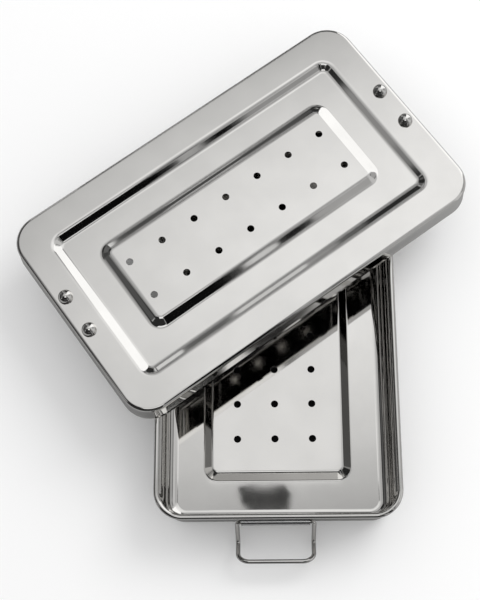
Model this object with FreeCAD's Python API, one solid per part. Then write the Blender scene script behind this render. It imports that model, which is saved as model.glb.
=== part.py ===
import FreeCAD, Part
import math
import os
from FreeCAD import Placement, Rotation, Vector

# Perforated steel box for sterilizing small instruments, shown open: the lid lies askew on the tray.
# Millimetres. +X is across the tray, +Y is along it, +Z is up. The origin is the centre of the
# tray's footprint, on the plane that it stands on. The end that faces the viewer is at -Y.

# Sheet steel, the same in the tray and the lid
sheet = 0.6

# Tray: rolled rim, walls with a little draft, a ledge all round and a raised middle with holes
rim_length = 209.2
rim_width = 121.8
rim_corner = 14.4
tray_height = 31.5
rim_bead = 2.7
wall_draft = 1.2
floor_bend = 6.4
floor_step_length = 155.4
floor_step_width = 70.9
floor_step_corner = 5.2
floor_step_rise = 2.2
step_slope = 35.0
step_bend = 2.4

# Round drain and steam holes in the tray's middle
hole_diameter = 3.6
floor_columns = 3
floor_rows = 7
floor_pitch_across = 19.3
floor_pitch_along = 18.5
floor_holes_off_centre = Vector(-1.2, -3.0, 0)

# Lid: it fits over the rim, with a sunk ring and a middle that rises to the border's height again
lid_fit = 0.5
lid_skirt = 12.8
lid_edge_bend = 1.7
skirt_flare = 0.35
hem_height = 1.6
ring_outer_length = 173.6
ring_outer_width = 86.4
ring_outer_corner = 5.0
ring_inner_length = 137.6
ring_inner_width = 49.9
ring_inner_corner = 4.6
ring_depth = 2.4
pressing_off_centre = Vector(-0.9, -0.2, 0)
lid_columns = 7
lid_rows = 2
lid_pitch_along = 20.0
lid_pitch_across = 21.9
lid_holes_off_centre = Vector(-2.1, 0.1, 0)

# How the lid lies in the photo: turned on the rim, its middle beyond the tray's
lid_turn = 35.7
lid_place_x = -16.8
lid_place_y = 51.5
lid_rest_gap = 0.2

# Half-ball studs, riveted through the lid's border, two at each end
stud_head = 7.7
stud_shank = 3.0
stud_tail = 4.8
stud_tail_height = 0.9
stud_from_edge = 6.9
stud_spacing = 21.4
left_studs_off_centre = 3.8
right_studs_off_centre = 0.9
stud_hole_clearance = 0.03

# Bail handles of bent wire, hinged in a rolled strip on each end wall
wire = 2.2
bail_hinge_width = 38.1
bail_bar_width = 37.5
bail_leg = 16.6
bail_reach = 14.5
bail_leg_hang = 26.8
bail_reach_rise = 40.0
bail_corner_bend = 5.8
bail_knee_bend = 2.4
bail_end_bend = 1.9
bail_end_depth = 7.0
bail_off_centre = Vector(-1.4, 0, 0)

# Hinge strip: a leaf welded to the wall, with its lower edge rolled round the wire's ends
hinge_height = 17.6
strip_length = 34.0
strip_sheet = 0.55
strip_top = 26.0
hinge_clearance = 0.05
strip_wall_gap = 0.05

half_sheet = sheet / 2
lid_length = rim_length + 2 * (lid_fit + sheet)
lid_width = rim_width + 2 * (lid_fit + sheet)
lid_corner = rim_corner + lid_fit + sheet
seam = 2.0


def arc_through(centre, start, end):
    """Shorter arc from start to end about centre."""
    middle = (start + end) * 0.5 - centre
    middle.normalize()
    return Part.Arc(start, centre + middle * (start - centre).Length, end).toShape()


def bend_path(points, radii):
    """Straight runs through points, joined by tangent arcs at the inner points."""
    edges = []
    here = points[0]
    for before, corner, after, radius in zip(points, points[1:], points[2:], radii):
        into = (corner - before).normalize()
        out = (after - corner).normalize()
        turn = into.getAngle(out)
        reach = radius * math.tan(turn / 2)
        start = corner - into * reach
        end = corner + out * reach
        inward = (out - into).normalize()
        centre = corner + inward * (radius / math.cos(turn / 2))
        if (start - here).Length > 1e-6:
            edges.append(Part.LineSegment(here, start).toShape())
        edges.append(arc_through(centre, start, end))
        here = end
    edges.append(Part.LineSegment(here, points[-1]).toShape())
    return edges


def offset_points(points, side):
    """Polyline moved sideways in the XZ plane by side, to the left of its direction if positive."""
    normals = []
    for a, b in zip(points, points[1:]):
        run = (b - a).normalize()
        normals.append(Vector(-run.z, 0, run.x))
    moved = [points[0] + normals[0] * side]
    for corner, n1, n2 in zip(points[1:], normals, normals[1:]):
        both = (n1 + n2).normalize()
        moved.append(corner + both * (side / both.dot(n1)))
    moved.append(points[-1] + normals[-1] * side)
    return moved


def sheet_section(points, radii, thickness):
    """Cross-section of a bent sheet, in the XZ plane, about a centre line with the given bends."""
    turns = []
    for a, b, c in zip(points, points[1:], points[2:]):
        turns.append((b - a).cross(c - b).y)
    half = thickness / 2
    left = offset_points(points, half)
    right = offset_points(points, -half)
    left_radii = [r + half if t > 0 else r - half for r, t in zip(radii, turns)]
    right_radii = [r - half if t > 0 else r + half for r, t in zip(radii, turns)]
    edges = bend_path(left, left_radii)
    edges.append(Part.LineSegment(left[-1], right[-1]).toShape())
    edges += bend_path(right, right_radii)
    edges.append(Part.LineSegment(right[0], left[0]).toShape())
    return Part.Face(Part.Wire(Part.sortEdges(edges)[0]))


def ring(section, half_x, half_y, corner):
    """Section carried round a rounded rectangle. Its x is measured out from the corner's centre."""
    centre_x = half_x - corner
    centre_y = half_y - corner
    pieces = []
    side = section.copy()
    side.translate(Vector(centre_x, -centre_y, 0))
    long_side = side.extrude(Vector(0, 2 * centre_y, 0))
    turned = section.copy()
    turned.rotate(Vector(), Vector(0, 0, 1), 90)
    turned.translate(Vector(centre_x, centre_y, 0))
    short_side = turned.extrude(Vector(-2 * centre_x, 0, 0))
    bend = section.copy()
    bend.translate(Vector(centre_x, centre_y, 0))
    first_corner = bend.revolve(Vector(centre_x, centre_y, 0), Vector(0, 0, 1), 90)
    second_corner = first_corner.mirror(Vector(), Vector(0, 1, 0))
    for piece in (long_side, short_side, first_corner, second_corner):
        pieces.append(piece)
        opposite = piece.copy()
        opposite.rotate(Vector(), Vector(0, 0, 1), 180)
        pieces.append(opposite)
    return pieces


def outline(half_x, half_y, corner, z):
    """Closed rounded rectangle at height z."""
    inner_x = half_x - corner
    inner_y = half_y - corner
    edges = []
    for quarter, (sx, sy) in enumerate(((1, 1), (-1, 1), (-1, -1), (1, -1))):
        centre = Vector(sx * inner_x, sy * inner_y, z)
        circle = Part.Circle(centre, Vector(0, 0, 1), corner)
        edges.append(circle.toShape(quarter * math.pi / 2, (quarter + 1) * math.pi / 2))
    for sign in (1, -1):
        a = Vector(inner_x, sign * half_y, z)
        edges.append(Part.LineSegment(a, Vector(-inner_x, sign * half_y, z)).toShape())
        b = Vector(sign * half_x, inner_y, z)
        edges.append(Part.LineSegment(b, Vector(sign * half_x, -inner_y, z)).toShape())
    return Part.Wire(Part.sortEdges(edges)[0])


def plate(outer, inner, z, thickness, inner_shift=Vector()):
    """Flat sheet with its top at z, inside the outline outer and outside the outline inner."""
    solid = Part.Face(outline(*outer, z - thickness)).extrude(Vector(0, 0, thickness))
    if inner is None:
        return solid
    gap = Part.Face(outline(*inner, z - thickness)).extrude(Vector(0, 0, thickness))
    gap.translate(inner_shift)
    return solid.cut(gap)


def step_section(corner, reach, rise, slope, bend, z):
    """Sheet that climbs by rise on its way in from corner + reach to corner - reach, top at z outside."""
    run = abs(rise) / math.tan(math.radians(slope)) / 2
    low = z - half_sheet
    high = low + rise
    points = [
        Vector(corner + reach, 0, low),
        Vector(corner + run, 0, low),
        Vector(corner - run, 0, high),
        Vector(corner - reach, 0, high),
    ]
    return sheet_section(points, [bend, bend], sheet)


def hole_grid(columns, rows, pitch_x, pitch_y, diameter, centre, z):
    """Cylinders on a grid, to cut round holes through the sheet that has its top at z."""
    tools = []
    for i in range(columns):
        for j in range(rows):
            x = centre.x + (i - (columns - 1) / 2) * pitch_x
            y = centre.y + (j - (rows - 1) / 2) * pitch_y
            tools.append(Part.makeCylinder(diameter / 2, 3 * sheet, Vector(x, y, z - 2 * sheet)))
    return tools


def joined(pieces):
    """One solid from pieces that meet face to face."""
    return pieces[0].multiFuse(pieces[1:]).removeSplitter()


# The tray

wall_top_out = rim_corner - rim_bead + sheet
wall_foot_out = wall_top_out - wall_draft
bead_centre = (rim_bead - sheet) / 2
band_reach = step_bend * math.tan(math.radians(step_slope) / 2) + 1.8


def tray_section():
    """From the curled edge over the rim and down the wall, round the foot to the ledge's seam."""
    wall_top = wall_top_out - half_sheet
    wall_foot = wall_foot_out - half_sheet
    top = tray_height - half_sheet
    outer = wall_top + 2 * bead_centre
    points = [
        Vector(wall_top + 0.9 * bead_centre, 0, top - 2 * bead_centre),
        Vector(outer, 0, top - 2 * bead_centre),
        Vector(outer, 0, top),
        Vector(wall_top, 0, top),
        Vector(wall_foot, 0, half_sheet),
        Vector(seam, 0, half_sheet),
    ]
    roll = bead_centre * 0.98
    return sheet_section(points, [roll, roll, roll, floor_bend + half_sheet], sheet)


def make_tray():
    half_x = rim_width / 2
    half_y = rim_length / 2
    step_x = floor_step_width / 2
    step_y = floor_step_length / 2
    reach = floor_step_rise / math.tan(math.radians(step_slope)) / 2 + band_reach - 1.0
    pieces = ring(tray_section(), half_x, half_y, rim_corner)
    ledge_out = (half_x - rim_corner + seam, half_y - rim_corner + seam, seam)
    ledge_in = (step_x + reach, step_y + reach, floor_step_corner + reach)
    pieces.append(plate(ledge_out, ledge_in, sheet, sheet))
    band = step_section(floor_step_corner, reach, floor_step_rise, step_slope, step_bend, sheet)
    pieces += ring(band, step_x, step_y, floor_step_corner)
    middle = (step_x - reach, step_y - reach, floor_step_corner - reach)
    top = sheet + floor_step_rise
    pieces.append(plate(middle, None, top, sheet))
    tray = joined(pieces)
    tools = hole_grid(floor_columns, floor_rows, floor_pitch_across, floor_pitch_along,
                      hole_diameter, floor_holes_off_centre, top)
    return tray.cut(tools)


# The lid, made about its own centre with its border's top at height 0

def skirt_section():
    """From the border's seam over the edge bend, down the skirt to the flared hem."""
    face = lid_corner - half_sheet
    points = [
        Vector(seam, 0, -half_sheet),
        Vector(face - skirt_flare, 0, -half_sheet),
        Vector(face - skirt_flare, 0, hem_height - lid_skirt),
        Vector(face, 0, -lid_skirt),
    ]
    return sheet_section(points, [lid_edge_bend, 1.2], sheet)


def stud_places():
    """Centres of the four ball studs on the border."""
    end = lid_length / 2 - stud_from_edge
    half = stud_spacing / 2
    places = {}
    for name, x, shift in (("left", -end, left_studs_off_centre), ("right", end, right_studs_off_centre)):
        places["ball_stud_%s_rear" % name] = Vector(x, half + shift, 0)
        places["ball_stud_%s_front" % name] = Vector(x, -half + shift, 0)
    return places


def make_lid():
    half_x = lid_length / 2
    half_y = lid_width / 2
    outer_x = ring_outer_length / 2
    outer_y = ring_outer_width / 2
    inner_x = ring_inner_length / 2
    inner_y = ring_inner_width / 2
    reach = ring_depth / math.tan(math.radians(step_slope)) / 2 + band_reach - 1.0
    shift = pressing_off_centre
    pieces = ring(skirt_section(), half_x, half_y, lid_corner)
    border_out = (half_x - lid_corner + seam, half_y - lid_corner + seam, seam)
    border_in = (outer_x + reach, outer_y + reach, ring_outer_corner + reach)
    pieces.append(plate(border_out, border_in, 0, sheet, shift))
    pressing = []
    down = step_section(ring_outer_corner, reach, -ring_depth, step_slope, step_bend, 0)
    pressing += ring(down, outer_x, outer_y, ring_outer_corner)
    sunk_out = (outer_x - reach, outer_y - reach, ring_outer_corner - reach)
    sunk_in = (inner_x + reach, inner_y + reach, ring_inner_corner + reach)
    pressing.append(plate(sunk_out, sunk_in, -ring_depth, sheet))
    up = step_section(ring_inner_corner, reach, ring_depth, step_slope, step_bend, -ring_depth)
    pressing += ring(up, inner_x, inner_y, ring_inner_corner)
    middle = (inner_x - reach, inner_y - reach, ring_inner_corner - reach)
    pressing.append(plate(middle, None, 0, sheet))
    for piece in pressing:
        piece.translate(shift)
    lid = joined(pieces + pressing)
    tools = hole_grid(lid_columns, lid_rows, lid_pitch_along, lid_pitch_across, hole_diameter,
                      lid_holes_off_centre, 0)
    stud_hole = stud_shank / 2 + stud_hole_clearance
    for place in stud_places().values():
        tools.append(Part.makeCylinder(stud_hole, 3 * sheet, place - Vector(0, 0, 2 * sheet)))
    return lid.cut(tools)


def make_stud(place):
    """Turned stud: half-ball head on the sheet, shank through it and a riveted tail below."""
    up = Vector(0, 0, 1)
    head = Part.makeSphere(stud_head / 2, Vector(), up, 0, 90, 360)
    shank = Part.makeCylinder(stud_shank / 2, stud_head / 4 + sheet, Vector(0, 0, -sheet))
    tail = Part.makeCylinder(stud_tail / 2, stud_tail_height / 3, Vector(0, 0, -sheet), -up)
    dome_base = Vector(0, 0, -sheet - stud_tail_height / 3)
    dome = Part.makeCone(stud_tail / 2, stud_tail / 3, stud_tail_height * 2 / 3, dome_base, -up)
    stud = head.multiFuse([shank, tail, dome]).removeSplitter()
    stud.translate(place)
    return stud


# The bail handles and their hinge strips, made for the end at -Y

def wall_out(z):
    """Distance of the end wall's outer face from the tray's middle, at height z."""
    top = tray_height - half_sheet
    share = (z - half_sheet) / (top - half_sheet)
    return rim_length / 2 - rim_corner + wall_foot_out + share * wall_draft


barrel = wire / 2 + hinge_clearance + strip_sheet
hinge_out = wall_out(hinge_height) + strip_wall_gap + barrel


def make_bail():
    """One length of wire: ends turned into the hinge strip, legs down to a knee, then out to the bar."""
    hang = math.radians(bail_leg_hang)
    rise = math.radians(bail_reach_rise)
    knee_y = -hinge_out - bail_leg * math.sin(hang)
    knee_z = hinge_height - bail_leg * math.cos(hang)
    bar_y = knee_y - bail_reach * math.cos(rise)
    bar_z = knee_z + bail_reach * math.sin(rise)
    hinge_x = bail_hinge_width / 2
    bar_x = bail_bar_width / 2
    knee_x = (hinge_x + bar_x) / 2
    end_x = strip_length / 2 - bail_end_depth
    half = [
        Vector(end_x, -hinge_out, hinge_height),
        Vector(hinge_x, -hinge_out, hinge_height),
        Vector(knee_x, knee_y, knee_z),
        Vector(bar_x, bar_y, bar_z),
    ]
    points = half + [Vector(-p.x, p.y, p.z) for p in reversed(half)]
    bends = [bail_end_bend, bail_knee_bend, bail_corner_bend]
    path = Part.Wire(bend_path(points, bends + bends[::-1]))
    start = Part.Wire(Part.Circle(points[0], Vector(1, 0, 0), wire / 2).toShape())
    return path.makePipeShell([start], True, False)


def make_strip():
    """Leaf against the wall, rolled at its lower edge into a barrel for the wire's ends."""
    half = strip_length / 2
    wall_low = wall_out(hinge_height)
    wall_high = wall_out(strip_top)
    corners = [
        Vector(-half, -wall_low, hinge_height),
        Vector(-half, -wall_high, strip_top),
        Vector(-half, -wall_high - strip_sheet, strip_top),
        Vector(-half, -wall_low - strip_sheet, hinge_height),
    ]
    leaf = Part.Face(Part.makePolygon(corners + corners[:1])).extrude(Vector(strip_length, 0, 0))
    along = Vector(1, 0, 0)
    base = Vector(-half, -hinge_out, hinge_height)
    rolled = Part.makeCylinder(barrel, strip_length, base, along)
    bore = Part.makeCylinder(barrel - strip_sheet, strip_length, base, along)
    return leaf.fuse(rolled).removeSplitter().cut(bore)


def turned_round(shape):
    """The same piece at the tray's other end."""
    other = shape.copy()
    other.rotate(Vector(), Vector(0, 0, 1), 180)
    return other


def laid_on_rim(shape):
    """Lid parts as the photo shows them, turned and resting on the rim."""
    height = tray_height + lid_rest_gap + lid_skirt
    turn = Rotation(Vector(0, 0, 1), lid_turn)
    laid = shape.copy()
    laid.Placement = Placement(Vector(lid_place_x, lid_place_y, height), turn).multiply(laid.Placement)
    return laid


def main():
    parts = {"tray": make_tray(), "lid": laid_on_rim(make_lid())}
    for name, place in stud_places().items():
        parts[name] = laid_on_rim(make_stud(place))
    bail = make_bail()
    strip = make_strip()
    for piece in (bail, strip):
        piece.translate(bail_off_centre)
    parts["bail_near"] = bail
    parts["bail_far"] = turned_round(bail)
    parts["hinge_strip_near"] = strip
    parts["hinge_strip_far"] = turned_round(strip)
    os.makedirs("parts", exist_ok=True)
    for name, shape in parts.items():
        solid = shape.Solids[0]
        box = solid.optimalBoundingBox(True, False)
        print(name, len(shape.Solids), solid.isValid(), round(solid.Volume, 1), box)
        solid.exportStep("parts/%s.step" % name)


main()
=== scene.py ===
"""Looks of a perforated steel sterilization container, its lid lying askew on the tray."""

import math

import bpy
from mathutils import Matrix, Vector
from mathutils.geometry import delaunay_2d_cdt


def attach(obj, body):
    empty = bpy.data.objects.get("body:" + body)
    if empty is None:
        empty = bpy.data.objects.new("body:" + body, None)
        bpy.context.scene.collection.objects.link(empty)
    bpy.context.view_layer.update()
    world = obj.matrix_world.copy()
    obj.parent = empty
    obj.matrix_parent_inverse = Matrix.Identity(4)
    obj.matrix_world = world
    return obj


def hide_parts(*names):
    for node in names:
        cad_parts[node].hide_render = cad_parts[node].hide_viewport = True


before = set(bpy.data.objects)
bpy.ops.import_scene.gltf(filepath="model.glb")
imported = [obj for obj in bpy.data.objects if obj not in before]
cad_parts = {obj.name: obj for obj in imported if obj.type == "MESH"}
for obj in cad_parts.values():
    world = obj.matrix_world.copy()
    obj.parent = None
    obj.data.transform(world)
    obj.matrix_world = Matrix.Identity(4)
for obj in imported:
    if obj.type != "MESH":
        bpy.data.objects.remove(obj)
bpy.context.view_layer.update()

# Tray
# One deep-drawn stainless sheet. Its rim is curled outward, the walls have a little draft, and the
# floor is a flat ledge round a raised middle that is punched with drain holes and then polished.

MM = 0.001
SHEET = 0.6
TRAY_HALF_LENGTH = 104.6
TRAY_HALF_WIDTH = 60.9
TRAY_CORNER = 14.4
TRAY_HEIGHT = 31.5
RIM_BEAD = 2.7
WALL_DRAFT = 1.2
FLOOR_BEND = 6.4
FLOOR_STEP_HALF_LENGTH = 77.7
FLOOR_STEP_HALF_WIDTH = 35.45
FLOOR_STEP_CORNER = 5.2
FLOOR_STEP_RISE = 2.2
STEP_SLOPE = math.radians(27)
STEP_BEND = 2.4
STEP_MARGIN = 0.4
RIM_TUCK = 0.9
RIM_ROUND = 0.98
FLAT_CORNER = 2.0
FLOOR_COLUMNS = 3
FLOOR_ROWS = 7
FLOOR_PITCH_ACROSS = 19.3
FLOOR_PITCH_ALONG = 18.5
FLOOR_HOLES_OFF_CENTRE = Vector((-1.2, -3.0))
HOLE_RADIUS = 1.8
HOLE_EDGE = 0.1
HOLE_SIDES = 32
HOLE_NOSE_STEPS = 9
CORNER_STEPS = 20
BEND_STEPS = 8


def bent_line(points, bends):
    """Middle of a bent sheet as stations (x, z, normal x, normal z), the normal on the left."""
    stations = []
    runs = [(Vector(b) - Vector(a)).normalized() for a, b in zip(points, points[1:])]
    normals = [Vector((-run.y, run.x)) for run in runs]
    stations.append((*points[0], *normals[0]))
    for i, bend in enumerate(bends):
        corner = Vector(points[i + 1])
        turn = runs[i].angle_signed(runs[i + 1]) * -1
        side = 1 if turn > 0 else -1
        bisector = (normals[i] + normals[i + 1]).normalized() * side
        centre = corner + bisector * (bend / math.cos(turn / 2))
        for k in range(BEND_STEPS + 1):
            angle = turn * k / BEND_STEPS
            c, s = math.cos(angle), math.sin(angle)
            n = Vector((normals[i].x * c - normals[i].y * s, normals[i].x * s + normals[i].y * c))
            p = centre - n * (side * bend)
            stations.append((p.x, p.y, n.x, n.y))
    stations.append((*points[-1], *normals[-1]))
    return stations


def skins(stations):
    """The sheet's two faces as lists of (x, z, normal x, normal z), left face then right."""
    half = SHEET / 2
    left = [(x + nx * half, z + nz * half, nx, nz) for x, z, nx, nz in stations]
    right = [(x - nx * half, z - nz * half, -nx, -nz) for x, z, nx, nz in stations]
    return left, right


def carried_round(station, half_x, half_y, corner):
    """One point of a section as a closed loop round the box, with a normal at each place."""
    x, z, nx, nz = station
    loop = []
    for quarter in range(4):
        sign_x = 1 if quarter in (0, 3) else -1
        sign_y = 1 if quarter in (0, 1) else -1
        for k in range(CORNER_STEPS + 1):
            angle = (quarter + k / CORNER_STEPS) * math.pi / 2
            out = Vector((math.cos(angle), math.sin(angle), 0))
            middle = Vector((sign_x * (half_x - corner), sign_y * (half_y - corner), z))
            loop.append((middle + out * x, Vector((out.x * nx, out.y * nx, nz))))
    return loop


class SteelSheet:
    """Gathers the faces of one sheet, with the true normal at each corner for clean reflections."""

    def __init__(self):
        self.places = {}
        self.corners = []
        self.faces = []
        self.normals = []

    def face(self, corners):
        """Adds one face from (place, normal) pairs, turned to agree with its normals."""
        area = Vector()
        for (a, _), (b, _) in zip(corners, corners[1:] + corners[:1]):
            area += a.cross(b)
        if area.dot(sum((n for _, n in corners), Vector())) < 0:
            corners = corners[::-1]
        found = []
        for place, normal in corners:
            key = tuple(round(c, 4) for c in place)
            if key not in self.places:
                self.places[key] = len(self.corners)
                self.corners.append(place)
            if self.places[key] not in [f for f, _ in found]:
                found.append((self.places[key], normal))
        if len(found) > 2:
            self.faces.append([f for f, _ in found])
            self.normals.extend(n for _, n in found)

    def band(self, first, second):
        """Faces between two loops of equally many corners."""
        for i in range(len(first)):
            j = (i + 1) % len(first)
            self.face([first[i], first[j], second[j], second[i]])

    def section(self, stations, box, shift=Vector((0, 0, 0))):
        """Carries both faces of a bent section round the box; gives back each face's first and last loop."""
        ends = []
        for side in skins(stations):
            loops = [carried_round(s, *box) for s in side]
            loops = [[(p + shift, n) for p, n in loop] for loop in loops]
            for first, second in zip(loops, loops[1:]):
                self.band(first, second)
            ends.append((loops[0], loops[-1]))
        return ends

    def cut_edge(self, stations, box):
        """Closes the sheet's cut edge at the start of a section."""
        back_x, back_z = -stations[0][3], stations[0][2]
        sides = skins(stations[:1])
        loops = [carried_round((*side[0][:2], back_x, back_z), *box) for side in sides]
        self.band(*loops)

    def flat(self, outer, holes, up):
        """Fills the level region inside the loop outer and outside each loop in holes."""
        places = []
        edges = []
        for loop in [outer] + holes:
            start = len(places)
            places += [p for p, _ in loop]
            edges += [(start + i, start + (i + 1) % len(loop)) for i in range(len(loop))]
        _, _, triangles, given, _, _ = delaunay_2d_cdt([p.xy for p in places], edges, [], 0, 1e-6)
        for triangle in triangles:
            corners = [places[given[i][0]] for i in triangle]
            middle = sum(corners, Vector()) / 3
            if inside(middle, outer) and not any(inside(middle, hole) for hole in holes):
                self.face([(place, Vector((0, 0, up))) for place in corners])

    def mesh_object(self, name, place=Matrix()):
        """The finished sheet as an object, moved to its place and brought to metres."""
        mesh = bpy.data.meshes.new(name)
        mesh.from_pydata([(place @ c) * MM for c in self.corners], [], self.faces)
        mesh.shade_smooth()
        turn = place.to_3x3()
        mesh.normals_split_custom_set([(turn @ n).normalized() for n in self.normals])
        made = bpy.data.objects.new(name, mesh)
        bpy.context.scene.collection.objects.link(made)
        return made


def inside(point, loop):
    """Is a point within a loop, seen from above?"""
    odd = False
    for (a, _), (b, _) in zip(loop, loop[1:] + loop[:1]):
        if (a.y > point.y) != (b.y > point.y):
            if point.x < a.x + (point.y - a.y) * (b.x - a.x) / (b.y - a.y):
                odd = not odd
    return odd


def step_reach(rise, slope, bend):
    """How far a step's section goes to each side of its middle."""
    return abs(rise) / math.tan(slope) / 2 + bend * math.tan(slope / 2) + STEP_MARGIN


def step_line(corner, rise, z, slope, bend):
    """Middle line of a step that climbs by rise on its way inward, its outside level at z."""
    reach = step_reach(rise, slope, bend)
    run = abs(rise) / math.tan(slope) / 2
    points = [
        (corner + reach, z),
        (corner + run, z),
        (corner - run, z + rise),
        (corner - reach, z + rise),
    ]
    return bent_line(points, [bend, bend])


def punched_holes_tree():
    """Geometry Nodes: the rounded inner edge of a punched hole, repeated on a grid."""
    tree = bpy.data.node_groups.new("punched holes", "GeometryNodeTree")
    face = tree.interface
    face.new_socket("Geometry", in_out="OUTPUT", socket_type="NodeSocketGeometry")
    for label in ("Length", "Width", "Hole radius", "Edge round", "Half sheet", "Height"):
        face.new_socket(label, in_out="INPUT", socket_type="NodeSocketFloat")
    for label in ("Along", "Across", "Sides"):
        face.new_socket(label, in_out="INPUT", socket_type="NodeSocketInt")
    face.new_socket("Material", in_out="INPUT", socket_type="NodeSocketMaterial")
    nodes, wire = tree.nodes, tree.links.new
    given = nodes.new("NodeGroupInput").outputs
    grid = nodes.new("GeometryNodeMeshGrid")
    wire(given["Length"], grid.inputs["Size X"])
    wire(given["Width"], grid.inputs["Size Y"])
    wire(given["Along"], grid.inputs["Vertices X"])
    wire(given["Across"], grid.inputs["Vertices Y"])
    outer = nodes.new("ShaderNodeMath")
    wire(given["Hole radius"], outer.inputs[0])
    wire(given["Edge round"], outer.inputs[1])
    circle = nodes.new("GeometryNodeCurvePrimitiveCircle")
    wire(given["Sides"], circle.inputs["Resolution"])
    wire(outer.outputs[0], circle.inputs["Radius"])
    nose = nodes.new("GeometryNodeCurveArc")
    nose.inputs["Resolution"].default_value = HOLE_NOSE_STEPS
    nose.inputs["Start Angle"].default_value = math.radians(90)
    nose.inputs["Sweep Angle"].default_value = math.radians(180)
    nose.inputs["Radius"].default_value = 1.0
    wall = nodes.new("ShaderNodeCombineXYZ")
    wire(given["Edge round"], wall.inputs["X"])
    wire(given["Half sheet"], wall.inputs["Y"])
    upright = nodes.new("GeometryNodeTransform")
    wire(nose.outputs["Curve"], upright.inputs["Geometry"])
    wire(wall.outputs["Vector"], upright.inputs["Scale"])
    sweep = nodes.new("GeometryNodeCurveToMesh")
    wire(circle.outputs["Curve"], sweep.inputs["Curve"])
    wire(upright.outputs["Geometry"], sweep.inputs["Profile Curve"])
    stamp = nodes.new("GeometryNodeInstanceOnPoints")
    wire(grid.outputs["Mesh"], stamp.inputs["Points"])
    wire(sweep.outputs["Mesh"], stamp.inputs["Instance"])
    height = nodes.new("ShaderNodeCombineXYZ")
    wire(given["Height"], height.inputs["Z"])
    lift = nodes.new("GeometryNodeTransform")
    wire(stamp.outputs["Instances"], lift.inputs["Geometry"])
    wire(height.outputs["Vector"], lift.inputs["Translation"])
    real = nodes.new("GeometryNodeRealizeInstances")
    wire(lift.outputs["Geometry"], real.inputs["Geometry"])
    coat = nodes.new("GeometryNodeSetMaterial")
    wire(real.outputs["Geometry"], coat.inputs["Geometry"])
    wire(given["Material"], coat.inputs["Material"])
    wire(coat.outputs["Geometry"], nodes.new("NodeGroupOutput").inputs["Geometry"])
    return tree


def made_by_nodes(name, mesh, tree, values):
    """The plain mesh that a node tree makes from a carrier mesh, with its named inputs set."""
    carrier = bpy.data.objects.new(name, mesh)
    bpy.context.scene.collection.objects.link(carrier)
    modifier = carrier.modifiers.new(name, "NODES")
    modifier.node_group = tree
    for item in tree.interface.items_tree:
        if item.in_out == "INPUT" and item.name in values:
            modifier[item.identifier] = values[item.name]
    evaluated = carrier.evaluated_get(bpy.context.evaluated_depsgraph_get())
    made = bpy.data.meshes.new_from_object(evaluated)
    made.name = name
    carrier.modifiers.remove(modifier)
    bpy.data.objects.remove(carrier)
    return made


def punched(sheet, columns, rows, pitch_x, pitch_y, centre, top, steel):
    """Adds the holes' rounded edges to a sheet; gives back the loops where its two faces meet them."""
    edge = SHEET / 2
    middle = top - edge
    values = {
        "Length": (columns - 1) * pitch_x,
        "Width": (rows - 1) * pitch_y,
        "Along": columns,
        "Across": rows,
        "Hole radius": HOLE_RADIUS,
        "Edge round": HOLE_EDGE,
        "Half sheet": edge,
        "Height": middle,
        "Sides": HOLE_SIDES,
        "Material": steel,
    }
    lips = made_by_nodes("hole edges", bpy.data.meshes.new("grid"), punched_holes_tree(), values)
    centres = []
    for i in range(columns):
        for j in range(rows):
            x = centre.x + (i - (columns - 1) / 2) * pitch_x
            y = centre.y + (j - (rows - 1) / 2) * pitch_y
            centres.append(Vector((x, y, middle)))
    shift = Vector((centre.x, centre.y, 0))
    rims = [{} for _ in centres]
    for polygon in lips.polygons:
        corners = []
        for i in polygon.vertices:
            place = lips.vertices[i].co + shift
            nearest = min(range(len(centres)), key=lambda k: (centres[k] - place).length)
            out = place - centres[nearest]
            out.z = 0
            heart = centres[nearest] + out.normalized() * (HOLE_RADIUS + HOLE_EDGE)
            normal = place - heart
            normal.z *= (HOLE_EDGE / edge) ** 2
            normal.normalize()
            if abs(place.z - middle) > edge * 0.999:
                normal = Vector((0, 0, round(normal.z)))
                angle = round(math.degrees(math.atan2(out.y, out.x)), 1) % 360
                rims[nearest][(normal.z, angle)] = (place, normal)
            corners.append((place, normal))
        sheet.face(corners)
    loops = {1: [], -1: []}
    for rim in rims:
        for up in loops:
            loops[up].append([rim[key] for key in sorted(rim) if key[0] == up])
    return loops


TONE_PATCHES = (45.0, 3.0)
SMEAR_PATCHES = (70.0, 5.0)
RIPPLE_PATCHES = (22.0, 0.0)
DULLEST_TONE = 0.95
SMEAR_RANGE = (0.75, 1.35)
POLISHING_LINES = (250.0, 2400.0, 1200.0)


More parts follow.
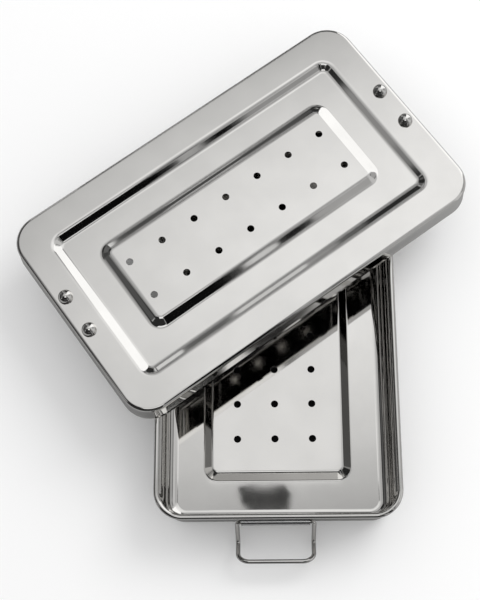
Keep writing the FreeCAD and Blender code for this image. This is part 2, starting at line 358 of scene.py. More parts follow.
def steel_finish(name, colour, roughness, ripple, grain):
    """Polished stainless: faint ripples from pressing, fine polishing lines and dull smears."""
    material = bpy.data.materials.new(name)
    material.use_nodes = True
    nodes, wire = material.node_tree.nodes, material.node_tree.links.new
    shader = nodes["Principled BSDF"]
    shader.inputs["Metallic"].default_value = 1.0
    place = nodes.new("ShaderNodeTexCoord").outputs["Object"]

    def noise(scale, detail):
        node = nodes.new("ShaderNodeTexNoise")
        node.inputs["Scale"].default_value = scale
        node.inputs["Detail"].default_value = detail
        wire(place, node.inputs["Vector"])
        return node.outputs["Fac"]

    def spread(source, low, high):
        node = nodes.new("ShaderNodeMapRange")
        node.inputs["From Min"].default_value = 0.35
        node.inputs["From Max"].default_value = 0.65
        node.inputs["To Min"].default_value = low
        node.inputs["To Max"].default_value = high
        wire(source, node.inputs["Value"])
        return node.outputs["Result"]

    tone = nodes.new("ShaderNodeMix")
    tone.data_type = "RGBA"
    tone.inputs["A"].default_value = (*[c * DULLEST_TONE for c in colour], 1)
    tone.inputs["B"].default_value = (*colour, 1)
    wire(spread(noise(*TONE_PATCHES), 0.0, 1.0), tone.inputs["Factor"])
    wire(tone.outputs["Result"], shader.inputs["Base Color"])

    low, high = SMEAR_RANGE
    wire(spread(noise(*SMEAR_PATCHES), roughness * low, roughness * high), shader.inputs["Roughness"])

    stretch = nodes.new("ShaderNodeMapping")
    stretch.inputs["Scale"].default_value = POLISHING_LINES
    wire(place, stretch.inputs["Vector"])
    lines = nodes.new("ShaderNodeTexNoise")
    lines.inputs["Scale"].default_value = 1.0
    lines.inputs["Detail"].default_value = 2.0
    wire(stretch.outputs["Vector"], lines.inputs["Vector"])
    fine = nodes.new("ShaderNodeBump")
    fine.inputs["Strength"].default_value = 1.0
    fine.inputs["Distance"].default_value = grain
    wire(lines.outputs["Fac"], fine.inputs["Height"])
    wave = nodes.new("ShaderNodeBump")
    wave.inputs["Strength"].default_value = 1.0
    wave.inputs["Distance"].default_value = ripple
    wire(noise(*RIPPLE_PATCHES), wave.inputs["Height"])
    wire(fine.outputs["Normal"], wave.inputs["Normal"])
    wire(wave.outputs["Normal"], shader.inputs["Normal"])
    return material


tray_steel = steel_finish("tray steel", (0.81, 0.80, 0.78), 0.045, 0.00003, 0.0000002)

wall_top = TRAY_CORNER - RIM_BEAD + SHEET / 2
wall_foot = wall_top - WALL_DRAFT
bead = (RIM_BEAD - SHEET) / 2
tray_top = TRAY_HEIGHT - SHEET / 2
rim_and_wall = bent_line(
    [
        (wall_top + RIM_TUCK * bead, tray_top - 2 * bead),
        (wall_top + 2 * bead, tray_top - 2 * bead),
        (wall_top + 2 * bead, tray_top),
        (wall_top, tray_top),
        (wall_foot, SHEET / 2),
        (FLAT_CORNER, SHEET / 2),
    ],
    [RIM_ROUND * bead] * 3 + [FLOOR_BEND + SHEET / 2])
tray_box = (TRAY_HALF_WIDTH, TRAY_HALF_LENGTH, TRAY_CORNER)
step_box = (FLOOR_STEP_HALF_WIDTH, FLOOR_STEP_HALF_LENGTH, FLOOR_STEP_CORNER)

tray_sheet = SteelSheet()
tray_sheet.cut_edge(rim_and_wall, tray_box)
(_, ledge_under), (_, ledge_top) = tray_sheet.section(rim_and_wall, tray_box)
floor_step = step_line(FLOOR_STEP_CORNER, FLOOR_STEP_RISE, SHEET / 2, STEP_SLOPE, STEP_BEND)
(step_under, middle_under), (step_top, middle_top) = tray_sheet.section(floor_step, step_box)
tray_sheet.flat(ledge_under, [step_under], -1)
tray_sheet.flat(ledge_top, [step_top], 1)
drain_holes = punched(tray_sheet, FLOOR_COLUMNS, FLOOR_ROWS, FLOOR_PITCH_ACROSS, FLOOR_PITCH_ALONG,
                      FLOOR_HOLES_OFF_CENTRE, SHEET + FLOOR_STEP_RISE, tray_steel)
tray_sheet.flat(middle_under, drain_holes[-1], -1)
tray_sheet.flat(middle_top, drain_holes[1], 1)

tray = tray_sheet.mesh_object("tray_pressing")
tray.data.materials.append(tray_steel)
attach(tray, "tray")
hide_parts("tray")

# Lid
# The same sheet, pressed to a sunk ring and a middle at the border's height with two rows of steam
# holes, its skirt turned down to fit over the rim. It lies across the tray, turned, polished like it.

LID_FIT = 0.5
LID_HALF_LENGTH = TRAY_HALF_LENGTH + LID_FIT + SHEET
LID_HALF_WIDTH = TRAY_HALF_WIDTH + LID_FIT + SHEET
LID_CORNER = TRAY_CORNER + LID_FIT + SHEET
LID_SKIRT = 12.8
LID_EDGE_BEND = 1.7
SKIRT_FLARE = 0.35
HEM_HEIGHT = 1.6
HEM_BEND = 1.2
RING_OUTER = (86.8, 43.2, 5.0)
RING_INNER = (68.8, 24.95, 4.6)
RING_DEPTH = 2.4
RING_SLOPE = math.radians(30)
RING_BEND = 5.0
PRESSING_OFF_CENTRE = Vector((-0.9, -0.2, 0))
LID_COLUMNS = 7
LID_ROWS = 2
LID_PITCH_ALONG = 20.0
LID_PITCH_ACROSS = 21.9
LID_HOLES_OFF_CENTRE = Vector((-2.1, 0.1))
LID_TURN = math.radians(35.7)
LID_REST_GAP = 0.2
LID_MIDDLE = Vector((-16.8, 51.5, TRAY_HEIGHT + LID_REST_GAP + LID_SKIRT))

lid_steel = steel_finish("lid steel", (0.825, 0.815, 0.795), 0.055, 0.00003, 0.0000002)
lid_place = Matrix.Translation(LID_MIDDLE) @ Matrix.Rotation(LID_TURN, 4, "Z")
lid_box = (LID_HALF_LENGTH, LID_HALF_WIDTH, LID_CORNER)
skirt_face = LID_CORNER - SHEET / 2
skirt_line = bent_line(
    [
        (skirt_face, -LID_SKIRT),
        (skirt_face - SKIRT_FLARE, HEM_HEIGHT - LID_SKIRT),
        (skirt_face - SKIRT_FLARE, -SHEET / 2),
        (FLAT_CORNER, -SHEET / 2),
    ],
    [HEM_BEND, LID_EDGE_BEND])

lid_sheet = SteelSheet()
lid_sheet.cut_edge(skirt_line, lid_box)
(_, border_under), (_, border_top) = lid_sheet.section(skirt_line, lid_box)
step_down = step_line(RING_OUTER[2], -RING_DEPTH, -SHEET / 2, RING_SLOPE, RING_BEND)
step_up = step_line(RING_INNER[2], RING_DEPTH, -SHEET / 2 - RING_DEPTH, RING_SLOPE, RING_BEND)
(down_under, ring_under), (down_top, ring_top) = lid_sheet.section(step_down, RING_OUTER, PRESSING_OFF_CENTRE)
(up_under, heart_under), (up_top, heart_top) = lid_sheet.section(step_up, RING_INNER, PRESSING_OFF_CENTRE)
lid_sheet.flat(border_under, [down_under], -1)
lid_sheet.flat(border_top, [down_top], 1)
lid_sheet.flat(ring_under, [up_under], -1)
lid_sheet.flat(ring_top, [up_top], 1)
steam_holes = punched(lid_sheet, LID_COLUMNS, LID_ROWS, LID_PITCH_ALONG, LID_PITCH_ACROSS,
                      LID_HOLES_OFF_CENTRE, 0, lid_steel)
lid_sheet.flat(heart_under, steam_holes[-1], -1)
lid_sheet.flat(heart_top, steam_holes[1], 1)

lid = lid_sheet.mesh_object("lid_pressing", lid_place)
lid.data.materials.append(lid_steel)
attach(lid, "lid")
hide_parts("lid")

# Half-ball studs
# Four turned and polished studs, two at each end of the lid's border, for the bails' bars to snap
# over. The head sits flat on the sheet, and the shank is riveted over underneath.

STUD_HEAD = 3.85
STUD_SHANK = 1.5
STUD_TAIL = 2.4
STUD_TAIL_HEIGHT = 0.9
STUD_FROM_EDGE = 6.9
STUD_SPACING = 21.4
LEFT_STUDS_OFF_CENTRE = 3.8
RIGHT_STUDS_OFF_CENTRE = 0.9
BALL_SEGMENTS = 64
BALL_RINGS = 48
SHANK_SIDES = 48
CRISP_FOLD = 0.6


def stud_tree():
    """Geometry Nodes: a stud at each of the carrier's points."""
    tree = bpy.data.node_groups.new("half-ball studs", "GeometryNodeTree")
    tree.interface.new_socket("Geometry", in_out="INPUT", socket_type="NodeSocketGeometry")
    tree.interface.new_socket("Geometry", in_out="OUTPUT", socket_type="NodeSocketGeometry")
    for label in ("Head radius", "Shank radius", "Tail radius", "Tail height", "Sheet"):
        tree.interface.new_socket(label, in_out="INPUT", socket_type="NodeSocketFloat")
    tree.interface.new_socket("Material", in_out="INPUT", socket_type="NodeSocketMaterial")
    nodes, wire = tree.nodes, tree.links.new
    given = nodes.new("NodeGroupInput").outputs

    def worked(operation, first, second):
        node = nodes.new("ShaderNodeMath")
        node.operation = operation
        for socket, value in zip(node.inputs, (first, second)):
            if isinstance(value, float):
                socket.default_value = value
            else:
                wire(value, socket)
        return node.outputs["Value"]

    def ball(radius):
        node = nodes.new("GeometryNodeMeshUVSphere")
        node.inputs["Segments"].default_value = BALL_SEGMENTS
        node.inputs["Rings"].default_value = BALL_RINGS
        wire(radius, node.inputs["Radius"])
        smooth = nodes.new("GeometryNodeSetShadeSmooth")
        wire(node.outputs["Mesh"], smooth.inputs["Geometry"])
        return smooth.outputs["Geometry"]

    place = nodes.new("ShaderNodeSeparateXYZ")
    wire(nodes.new("GeometryNodeInputPosition").outputs["Position"], place.inputs["Vector"])
    cut_place = nodes.new("ShaderNodeCombineXYZ")
    wire(place.outputs["X"], cut_place.inputs["X"])
    wire(place.outputs["Y"], cut_place.inputs["Y"])
    wire(worked("MAXIMUM", place.outputs["Z"], 0.0), cut_place.inputs["Z"])
    head = nodes.new("GeometryNodeSetPosition")
    wire(ball(given["Head radius"]), head.inputs["Geometry"])
    wire(cut_place.outputs["Vector"], head.inputs["Position"])
    fold = nodes.new("GeometryNodeInputMeshEdgeAngle")
    crisp = nodes.new("GeometryNodeSetShadeSmooth")
    crisp.domain = "EDGE"
    crisp.inputs["Shade Smooth"].default_value = False
    wire(head.outputs["Geometry"], crisp.inputs["Geometry"])
    wire(worked("GREATER_THAN", fold.outputs["Unsigned Angle"], CRISP_FOLD), crisp.inputs["Selection"])
    shank = nodes.new("GeometryNodeMeshCylinder")
    shank.inputs["Vertices"].default_value = SHANK_SIDES
    wire(given["Shank radius"], shank.inputs["Radius"])
    wire(given["Sheet"], shank.inputs["Depth"])
    half_tail = worked("MULTIPLY", given["Tail height"], 0.5)
    squeeze = nodes.new("ShaderNodeCombineXYZ")
    squeeze.inputs["X"].default_value = 1.0
    squeeze.inputs["Y"].default_value = 1.0
    wire(worked("DIVIDE", half_tail, given["Tail radius"]), squeeze.inputs["Z"])
    whole = nodes.new("GeometryNodeJoinGeometry")
    wire(crisp.outputs["Geometry"], whole.inputs["Geometry"])
    lowered = {
        worked("MULTIPLY", given["Sheet"], -0.5): shank.outputs["Mesh"],
        worked("MULTIPLY", worked("ADD", given["Sheet"], half_tail), -1.0): ball(given["Tail radius"]),
    }
    for height, shape in lowered.items():
        offset = nodes.new("ShaderNodeCombineXYZ")
        wire(height, offset.inputs["Z"])
        moved = nodes.new("GeometryNodeTransform")
        wire(shape, moved.inputs["Geometry"])
        wire(offset.outputs["Vector"], moved.inputs["Translation"])
        if shape is not shank.outputs["Mesh"]:
            wire(squeeze.outputs["Vector"], moved.inputs["Scale"])
        wire(moved.outputs["Geometry"], whole.inputs["Geometry"])
    stamp = nodes.new("GeometryNodeInstanceOnPoints")
    wire(given["Geometry"], stamp.inputs["Points"])
    wire(whole.outputs["Geometry"], stamp.inputs["Instance"])
    real = nodes.new("GeometryNodeRealizeInstances")
    wire(stamp.outputs["Instances"], real.inputs["Geometry"])
    coat = nodes.new("GeometryNodeSetMaterial")
    wire(real.outputs["Geometry"], coat.inputs["Geometry"])
    wire(given["Material"], coat.inputs["Material"])
    wire(coat.outputs["Geometry"], nodes.new("NodeGroupOutput").inputs["Geometry"])
    return tree


stud_steel = steel_finish("stud steel", (0.80, 0.79, 0.77), 0.08, 0.00001, 0.0000001)
stud_end = LID_HALF_LENGTH - STUD_FROM_EDGE
stud_places = []
for end, shift in ((-stud_end, LEFT_STUDS_OFF_CENTRE), (stud_end, RIGHT_STUDS_OFF_CENTRE)):
    for half in (STUD_SPACING / 2, -STUD_SPACING / 2):
        stud_places.append(lid_place @ Vector((end, half + shift, 0)))
stud_points = bpy.data.meshes.new("stud places")
stud_points.from_pydata([p * MM for p in stud_places], [], [])
stud_sizes = {
    "Head radius": STUD_HEAD * MM,
    "Shank radius": STUD_SHANK * MM,
    "Tail radius": STUD_TAIL * MM,
    "Tail height": STUD_TAIL_HEIGHT * MM,
    "Sheet": SHEET * MM,
    "Material": stud_steel,
}
studs = bpy.data.objects.new("ball_studs", made_by_nodes("ball studs", stud_points, stud_tree(), stud_sizes))
bpy.context.scene.collection.objects.link(studs)
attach(studs, "lid")
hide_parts("ball_stud_left_rear", "ball_stud_left_front", "ball_stud_right_rear", "ball_stud_right_front")

# Bail handles
# One length of bright drawn wire each. Its ends turn in to the hinge strip on the end wall, the legs
# hang down to a knee, and from there they reach out and up to the bar that the fingers take.

WIRE = 1.1
WIRE_SIDES = 24
BAIL_HINGE_HALF_WIDTH = 19.05
BAIL_BAR_HALF_WIDTH = 18.75
BAIL_LEG = 16.6
BAIL_REACH = 14.5
BAIL_LEG_HANG = math.radians(26.8)
BAIL_REACH_RISE = math.radians(40.0)
BAIL_BENDS = (1.9, 2.4, 5.8)
BAIL_BEND_STEPS = 10
BAIL_END = 10.0
BAIL_OFF_CENTRE = Vector((-1.4, 0, 0))
HINGE_OUT = 103.722
HINGE_HEIGHT = 17.6


def wire_tree():
    """Geometry Nodes: a round wire along the carrier's line of edges, its ends closed."""
    tree = bpy.data.node_groups.new("bent wire", "GeometryNodeTree")
    tree.interface.new_socket("Geometry", in_out="INPUT", socket_type="NodeSocketGeometry")
    tree.interface.new_socket("Geometry", in_out="OUTPUT", socket_type="NodeSocketGeometry")
    tree.interface.new_socket("Wire radius", in_out="INPUT", socket_type="NodeSocketFloat")
    tree.interface.new_socket("Material", in_out="INPUT", socket_type="NodeSocketMaterial")
    nodes, wire = tree.nodes, tree.links.new
    given = nodes.new("NodeGroupInput").outputs
    line = nodes.new("GeometryNodeMeshToCurve")
    wire(given["Geometry"], line.inputs["Mesh"])
    circle = nodes.new("GeometryNodeCurvePrimitiveCircle")
    circle.inputs["Resolution"].default_value = WIRE_SIDES
    wire(given["Wire radius"], circle.inputs["Radius"])
    sweep = nodes.new("GeometryNodeCurveToMesh")
    wire(line.outputs["Curve"], sweep.inputs["Curve"])
    wire(circle.outputs["Curve"], sweep.inputs["Profile Curve"])
    sweep.inputs["Fill Caps"].default_value = True
    smooth = nodes.new("GeometryNodeSetShadeSmooth")
    wire(sweep.outputs["Mesh"], smooth.inputs["Geometry"])
    real = nodes.new("GeometryNodeRealizeInstances")
    wire(smooth.outputs["Geometry"], real.inputs["Geometry"])
    coat = nodes.new("GeometryNodeSetMaterial")
    wire(real.outputs["Geometry"], coat.inputs["Geometry"])
    wire(given["Material"], coat.inputs["Material"])
    wire(coat.outputs["Geometry"], nodes.new("NodeGroupOutput").inputs["Geometry"])
    return tree


def rounded_line(points, bends, steps):
    """Points along a line with its inner corners rounded."""
    line = [points[0]]
    for before, corner, after, bend in zip(points, points[1:], points[2:], bends):
        into = (corner - before).normalized()
        out = (after - corner).normalized()
        turn = into.angle(out)
        start = corner - into * (bend * math.tan(turn / 2))
        centre = corner + (out - into).normalized() * (bend / math.cos(turn / 2))
        arm = start - centre
        across = into * bend
        for k in range(steps + 1):
            angle = turn * k / steps
            line.append(centre + arm * math.cos(angle) + across * math.sin(angle))
    line.append(points[-1])
    return line


bail_steel = steel_finish("bail wire", (0.79, 0.78, 0.76), 0.06, 0.00001, 0.0000003)
hinge = Vector((0, -HINGE_OUT, HINGE_HEIGHT))
knee = hinge - BAIL_LEG * Vector((0, math.sin(BAIL_LEG_HANG), math.cos(BAIL_LEG_HANG)))
bar = knee + BAIL_REACH * Vector((0, -math.cos(BAIL_REACH_RISE), math.sin(BAIL_REACH_RISE)))
half_bail = [
    Vector((BAIL_END, -HINGE_OUT, HINGE_HEIGHT)),
    Vector((BAIL_HINGE_HALF_WIDTH, -HINGE_OUT, HINGE_HEIGHT)),
    Vector(((BAIL_HINGE_HALF_WIDTH + BAIL_BAR_HALF_WIDTH) / 2, knee.y, knee.z)),
    Vector((BAIL_BAR_HALF_WIDTH, bar.y, bar.z)),
]
bail_corners = half_bail + [Vector((-p.x, p.y, p.z)) for p in half_bail[::-1]]
bail_line = rounded_line(bail_corners, BAIL_BENDS + BAIL_BENDS[::-1], BAIL_BEND_STEPS)
bail_edges = [(i, i + 1) for i in range(len(bail_line) - 1)]
for end, turn in (("near", 0), ("far", math.pi)):
    turned = Matrix.Rotation(turn, 3, "Z") * MM
    path = bpy.data.meshes.new("bail line")
    path.from_pydata([turned @ (p + BAIL_OFF_CENTRE) for p in bail_line], bail_edges, [])
    values = {"Wire radius": WIRE * MM, "Material": bail_steel}
    bail = bpy.data.objects.new("bail_wire_" + end, made_by_nodes("bail " + end, path, wire_tree(), values))
    bpy.context.scene.collection.objects.link(bail)
    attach(bail, "bail_" + end)
    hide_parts("bail_" + end)

# Hinge strips
# A short strip of the same steel on each end wall. Its leaf is spot-welded flat to the wall, and the
# lower edge is rolled round the ends of the bail's wire, open at the back where the roll meets the leaf.

STRIP_HALF_LENGTH = 17.0
STRIP_SHEET = 0.55
STRIP_TOP = 26.0
BARREL = 1.7
BARREL_SWEEP = math.radians(318)
BARREL_STEPS = 28

strip_steel = steel_finish("strip steel", (0.76, 0.76, 0.765), 0.18, 0.00001, 0.0000006)


def wall_out(z):
    """How far out the end wall's face is at a height."""
    share = (z - SHEET / 2) / (tray_top - SHEET / 2)
    return TRAY_HALF_LENGTH - TRAY_CORNER + wall_foot + SHEET / 2 + share * WALL_DRAFT


def strip_outline():
    """Closed outline of the strip's end, as (out, up, normal out, normal up), leaf top first."""
    inner = BARREL - STRIP_SHEET
    lean = math.atan2(wall_out(STRIP_TOP) - wall_out(HINGE_HEIGHT), STRIP_TOP - HINGE_HEIGHT)
    foot_out = HINGE_OUT - BARREL
    top_out = foot_out + (STRIP_TOP - HINGE_HEIGHT) * math.tan(lean)
    outer_arc = []
    inner_arc = []
    for k in range(BARREL_STEPS + 1):
        angle = math.pi + BARREL_SWEEP * k / BARREL_STEPS
        c, s = math.cos(angle), math.sin(angle)
        outer_arc.append((HINGE_OUT + BARREL * c, HINGE_HEIGHT + BARREL * s, c, s))
        inner_arc.append((HINGE_OUT + inner * c, HINGE_HEIGHT + inner * s, -c, -s))
    back = [(top_out, STRIP_TOP, -1, 0)]
    front = [(top_out + STRIP_SHEET, STRIP_TOP, 1, 0)]
    return back + outer_arc, front + inner_arc


for end, turn in (("near", 0), ("far", math.pi)):
    strip_sheet = SteelSheet()
    ends = []
    for face in strip_outline():
        rows = []
        for x in (-STRIP_HALF_LENGTH, STRIP_HALF_LENGTH):
            rows.append([(Vector((x, -out, up)), Vector((0, -nout, nup))) for out, up, nout, nup in face])
        ends.append(rows)
        for i in range(len(face) - 1):
            strip_sheet.face([rows[0][i], rows[0][i + 1], rows[1][i + 1], rows[1][i]])
    for side, rim in ((-1, 0), (1, 1)):
        outward = Vector((side, 0, 0))
        back, front = ends[0][rim], ends[1][rim]
        for i in range(len(back) - 1):
            strip_sheet.face([(p, outward) for p, _ in (back[i], back[i + 1], front[i + 1], front[i])])
    for i, way in ((0, Vector((0, 0, 1))), (-1, Vector((0, -0.7, 0.7)))):
        corners = [ends[0][0][i], ends[0][1][i], ends[1][1][i], ends[1][0][i]]
        strip_sheet.face([(p, way) for p, _ in corners])
    place = Matrix.Rotation(turn, 4, "Z") @ Matrix.Translation(BAIL_OFF_CENTRE)
    strip = strip_sheet.mesh_object("rolled_strip_" + end, place)
    strip.data.materials.append(strip_steel)
    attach(strip, "tray")
    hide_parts("hinge_strip_" + end)

# Studio
# A pale table, a soft lamp at the rear right, and round them the dim room with lit and dark cards
# that only the polished steel sees. Painted shade: the table's colour is made nearly black under the
# tray, where no light gets in. Painted reflection: for the steel's reflections only, the table's
# colour is darkened, so the steel shows it greyer than it is.

FLOOR_SIZE = 3.0
ROOM_RADIUS = 1.6
ROOM_GLOW = 0.025
CEILING = 1.2
CARD_RADIUS = 1.2
CARD_GAP = 0.02
CARD_STEPS = 24
TABLE_TONE = 0.93
# Painted shade: the table's colour under the tray, nearly black
TABLE_PAINTED_SHADE = 0.01
# Painted reflection: the table's colour is multiplied by this in the steel's reflections only
TABLE_PAINTED_DARK_REFLECTION = 0.38
# Half size and soft edge of the box of painted shade under the tray
PAINTED_SHADE_BOX = (0.050, 0.094, 0)
PAINTED_SHADE_SOFT_EDGE = 0.006
BLOT_HEIGHT = 0.9
BLOT_GLOW = 0.05
SOFT_LIGHT = 0.87
LAMP_POWER = 4.7
LAMP_SIZE = 0.7
LAMP_PLACE = Vector((0.64, 0.48, 0.89))


def linked(name, mesh):
    """A stage object made from a mesh."""
    made = bpy.data.objects.new(name, mesh)
    bpy.context.scene.collection.objects.link(made)
    return made


def seen_in_steel(name, corners, faces, glow, fade=None):
    """A glowing card that shows only in reflections. fade is (middle, turn, reach, least): the glow
    falls by the square of the distance from middle, in reaches along the turned axes, to least."""
    mesh = bpy.data.meshes.new(name)
    mesh.from_pydata(corners, [], faces)
    material = bpy.data.materials.new(name)
    material.use_nodes = True
    nodes, wire = material.node_tree.nodes, material.node_tree.links.new
    nodes.clear()
    light = nodes.new("ShaderNodeEmission")
    light.inputs["Strength"].default_value = glow
    if fade:
        own = nodes.new("ShaderNodeMapping")
        own.vector_type = "TEXTURE"
        own.inputs["Location"].default_value = fade[0]
        own.inputs["Rotation"].default_value = (0, 0, math.radians(fade[1]))
        own.inputs["Scale"].default_value = fade[2]
        wire(nodes.new("ShaderNodeTexCoord").outputs["Object"], own.inputs["Vector"])
        square = nodes.new("ShaderNodeVectorMath")
        square.operation = "DOT_PRODUCT"
        wire(own.outputs["Vector"], square.inputs[0])
        wire(own.outputs["Vector"], square.inputs[1])
        left = nodes.new("ShaderNodeMath")
        left.operation = "SUBTRACT"
        left.inputs[0].default_value = glow
        wire(square.outputs["Value"], left.inputs[1])
        floor = nodes.new("ShaderNodeMath")
        floor.operation = "MAXIMUM"
        floor.inputs[1].default_value = fade[3]
        wire(left.outputs["Value"], floor.inputs[0])
        wire(floor.outputs["Value"], light.inputs["Strength"])
    wire(light.outputs["Emission"], nodes.new("ShaderNodeOutputMaterial").inputs["Surface"])
    mesh.materials.append(material)
    card = linked(name, mesh)
    card.visible_camera = False
    card.visible_diffuse = False
    card.visible_shadow = False


def level_card(name, x, y, height, glow, fade=None):
    """A level card over the ranges x and y."""
    corners = [(x[0], y[0], height), (x[1], y[0], height), (x[1], y[1], height), (x[0], y[1], height)]
    seen_in_steel(name, corners, [(0, 1, 2, 3)], glow, fade)


def round_card(name, turn, rise, radius, glow, lean=0.0):
    """A card bent round the box, over ranges of turn from +X towards +Y and of rise, in degrees.
    Its level edges climb by lean degrees for each degree of turn."""
    corners = []
    for j in range(CARD_STEPS + 1):
        for i in range(CARD_STEPS + 1):
            swing = (turn[1] - turn[0]) * i / CARD_STEPS
            along = math.radians(turn[0] + swing)
            up = math.radians(min(rise[0] + (rise[1] - rise[0]) * j / CARD_STEPS + lean * swing, 90))
            flat = radius * math.cos(up)
            corners.append((flat * math.cos(along), flat * math.sin(along), radius * math.sin(up)))
    faces = []
    for j in range(CARD_STEPS):
        for i in range(CARD_STEPS):
            first = j * (CARD_STEPS + 1) + i
            faces.append((first, first + 1, first + CARD_STEPS + 2, first + CARD_STEPS + 1))
    seen_in_steel(name, corners, faces, glow)


table_mesh = bpy.data.meshes.new("table")
table_half = FLOOR_SIZE / 2
table_signs = ((-1, -1), (1, -1), (1, 1), (-1, 1))
table_mesh.from_pydata([(x * table_half, y * table_half, 0) for x, y in table_signs], [], [(0, 1, 2, 3)])
linked("table", table_mesh)
table_white = bpy.data.materials.new("table white")
table_white.use_nodes = True
nodes, wire = table_white.node_tree.nodes, table_white.node_tree.links.new
table_shader = nodes["Principled BSDF"]
table_shader.inputs["Roughness"].default_value = 1.0
table_shader.inputs["Specular IOR Level"].default_value = 0.0

# How far a place on the table is from the tray's underside, from nothing to one: the mask of the painted
# shade
size = nodes.new("ShaderNodeVectorMath")
size.operation = "ABSOLUTE"
wire(nodes.new("ShaderNodeTexCoord").outputs["Object"], size.inputs[0])
past = nodes.new("ShaderNodeVectorMath")
past.operation = "SUBTRACT"
wire(size.outputs["Vector"], past.inputs[0])
past.inputs[1].default_value = PAINTED_SHADE_BOX
outside = nodes.new("ShaderNodeVectorMath")
outside.operation = "MAXIMUM"
wire(past.outputs["Vector"], outside.inputs[0])
outside.inputs[1].default_value = (0, 0, 0)
distance = nodes.new("ShaderNodeVectorMath")
distance.operation = "LENGTH"
wire(outside.outputs["Vector"], distance.inputs[0])
share = nodes.new("ShaderNodeMapRange")
share.inputs["From Max"].default_value = PAINTED_SHADE_SOFT_EDGE
wire(distance.outputs["Value"], share.inputs["Value"])
# Painted shade: mixes the table's colour to nearly black under the tray
table_colour_with_painted_shade = nodes.new("ShaderNodeMix")
table_colour_with_painted_shade.data_type = "RGBA"
table_colour_with_painted_shade.inputs["A"].default_value = (*[TABLE_PAINTED_SHADE] * 3, 1)
table_colour_with_painted_shade.inputs["B"].default_value = (*[TABLE_TONE] * 3, 1)
wire(share.outputs["Result"], table_colour_with_painted_shade.inputs["Factor"])
# Painted reflection: in glossy rays the table's colour is darkened, so the steel reflects it greyer than it
# is
in_steel = nodes.new("ShaderNodeMix")
in_steel.data_type = "RGBA"
in_steel.blend_type = "MULTIPLY"
wire(nodes.new("ShaderNodeLightPath").outputs["Is Glossy Ray"], in_steel.inputs["Factor"])
wire(table_colour_with_painted_shade.outputs["Result"], in_steel.inputs["A"])
in_steel.inputs["B"].default_value = (*[TABLE_PAINTED_DARK_REFLECTION] * 3, 1)
wire(in_steel.outputs["Result"], table_shader.inputs["Base Color"])
table_mesh.materials.append(table_white)

round_card("dim room", (0, 360), (0, 90), ROOM_RADIUS, ROOM_GLOW)
ceiling_fade = ((0.315, 0.562, CEILING), 20.2, (1.22, 0.523, 1), 0.45)
level_card("ceiling card", (-0.9, 0.75), (-0.10, 1.1), CEILING, 0.995, ceiling_fade)
level_card("front ceiling card", (-0.30, 0.33), (-0.50, -0.10), CEILING, 0.95)
level_card("middle ceiling card", (-0.096, 0.094), (0.155, 0.40), CEILING - CARD_GAP / 2, 0.86)

# Each card's range of turn, range of rise and glow, and its lean for the nearer ones
far_cards = {
    "right grey": ((-42, -20), (0, 66), 0.40),
    "right light": ((-20, 37), (0, 66), 0.60),
    "corner grey": ((-60, -49), (0, 70), 0.30),
    "white opening": ((37, 76), (0, 56), 1.20),
    "rear soft": ((76, 128), (31, 44), 0.24),
    "rear low": ((106, 158), (11.5, 27.5), 0.13),
    "rear foot": ((104, 158), (0, 11.5), 0.08),
    "rear corner": ((76, 106), (0, 27.5), 0.03),
    "left high": ((176.5, 184), (39, 58), 0.29),
    "left high side": ((184, 186.8), (39, 58), 0.22),
    "left middle": ((178, 197), (21, 38), 0.09),
    "left edge": ((197, 208), (14, 38), 0.35),
    "left card": ((150, 178), (8, 34), 0.06),
    "left upper": ((150, 176), (34, 44), 0.10),
    "front grey": ((250, 300), (22, 38), 0.08),
}
for name, (turn, rise, glow) in far_cards.items():
    round_card(name + " card", turn, rise, CARD_RADIUS, glow)
near_cards = {
    "right soft": ((5, 37), (8, 34), 0.40, 0.0),
    "right dim band": ((8, 28), (34, 44), 0.20, 0.0),
    "right dark post": ((-54, -33.2), (52.3, 75), 0.003, 0.0),
    "right dark slat": ((-29.6, -24.2), (52.3, 58.5), 0.003, 0.0),
    "right upper grey": ((-24.2, -8), (50.8, 57), 0.32, -0.1),
    "right dark block": ((-54, -37.9), (43, 52.3), 0.004, 0.0),
    "right light gap": ((-37.9, -33.8), (44, 52.3), 0.66, 0.0),
    "right dark tail": ((-33.8, -29.8), (44, 52.3), 0.008, 0.0),
    "right dark stem": ((-51, -41), (34, 43), 0.005, 0.0),
    "right dark foot": ((-51, -34), (20, 34), 0.02, 0.0),
    "right dark rail": ((-41, 2), (69.5, 72), 0.03, -0.18),
    "rear dark gap": ((84, 100), (48.5, 51.5), 0.05, 0.0),
    "rear white stripe": ((86, 129), (44, 47.5), 0.80, 0.1),
    "rear light stripe": ((97, 124), (28, 31), 0.75, 0.0),
    "rear window": ((111, 117.2), (12, 20), 0.66, 0.0),
    "rear window side": ((108.3, 111), (12, 20), 0.31, 0.0),
    "rear bright edge": ((121.6, 126), (7, 20), 0.76, 0.0),
}
for name, (turn, rise, glow, lean) in near_cards.items():
    round_card(name + " card", turn, rise, CARD_RADIUS - CARD_GAP, glow, lean)
blot = [(-0.047, 0.092), (-0.043, 0.072), (-0.030, 0.058), (0.004, 0.055), (0.014, 0.062), (0.017, 0.083),
        (0.008, 0.095), (-0.018, 0.091), (-0.030, 0.095)]
blot_corners = [(x, y, BLOT_HEIGHT) for x, y in blot]
seen_in_steel("dark thing card", blot_corners, [tuple(range(len(blot)))], BLOT_GLOW)

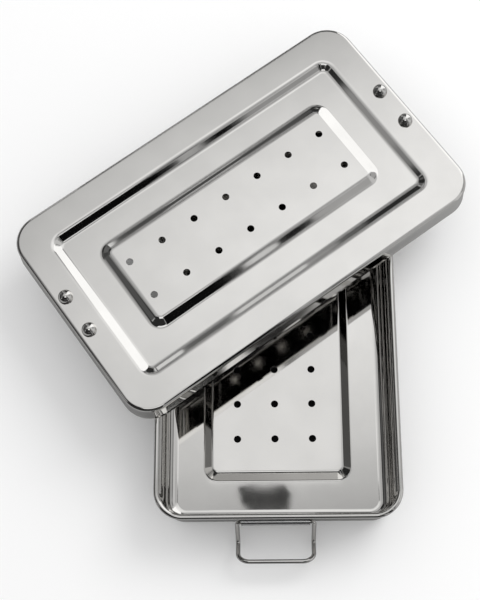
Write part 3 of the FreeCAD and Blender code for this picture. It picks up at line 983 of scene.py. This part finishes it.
world = bpy.data.worlds.new("studio")
bpy.context.scene.world = world
world.use_nodes = True
nodes, wire = world.node_tree.nodes, world.node_tree.links.new
nodes.clear()
paths = nodes.new("ShaderNodeLightPath")
seen = nodes.new("ShaderNodeMath")
seen.operation = "MAXIMUM"
wire(paths.outputs["Is Camera Ray"], seen.inputs[0])
wire(paths.outputs["Is Glossy Ray"], seen.inputs[1])
through = nodes.new("ShaderNodeMath")
through.operation = "MAXIMUM"
wire(seen.outputs[0], through.inputs[0])
wire(paths.outputs["Is Transmission Ray"], through.inputs[1])
soft_light = nodes.new("ShaderNodeBackground")
soft_light.inputs["Strength"].default_value = SOFT_LIGHT
backdrop = nodes.new("ShaderNodeBackground")
backdrop.inputs["Strength"].default_value = 1.0
for shade in (soft_light, backdrop):
    shade.inputs["Color"].default_value = (1, 1, 1, 1)
choice = nodes.new("ShaderNodeMixShader")
wire(through.outputs[0], choice.inputs["Fac"])
wire(soft_light.outputs[0], choice.inputs[1])
wire(backdrop.outputs[0], choice.inputs[2])
wire(choice.outputs[0], nodes.new("ShaderNodeOutputWorld").inputs["Surface"])

lamp = bpy.data.lights.new("soft lamp", "AREA")
lamp.shape = "RECTANGLE"
lamp.size = LAMP_SIZE
lamp.size_y = LAMP_SIZE
lamp.energy = LAMP_POWER
lamp_stand = bpy.data.objects.new("soft lamp", lamp)
lamp_stand.location = LAMP_PLACE
lamp_stand.rotation_euler = (-LAMP_PLACE).to_track_quat("-Z", "Y").to_euler()
lamp_stand.visible_glossy = False
bpy.context.scene.collection.objects.link(lamp_stand)

# Camera
# It stands nearly above the tray, at the photograph's place, and looks down and a little away.

CAMERA_PLACE = Vector((-0.00108, -0.21097, 0.65896))
CAMERA_RIGHT = Vector((0.99959, -0.00368, -0.02849))
CAMERA_UP = Vector((0.01283, 0.94444, 0.32843))
CAMERA_LENS = 52.0
CAMERA_SENSOR = 24.0

camera = bpy.data.cameras.new("camera")
camera.sensor_fit = "VERTICAL"
camera.sensor_height = CAMERA_SENSOR
camera.lens = CAMERA_LENS
camera_stand = bpy.data.objects.new("camera", camera)
axes = Matrix((CAMERA_RIGHT, CAMERA_UP, CAMERA_RIGHT.cross(CAMERA_UP))).transposed()
camera_stand.matrix_world = Matrix.Translation(CAMERA_PLACE) @ axes.to_4x4()
bpy.context.scene.collection.objects.link(camera_stand)
bpy.context.scene.camera = camera_stand
bpy.context.scene.view_settings.view_transform = "Standard"

bpy.context.view_layer.update()
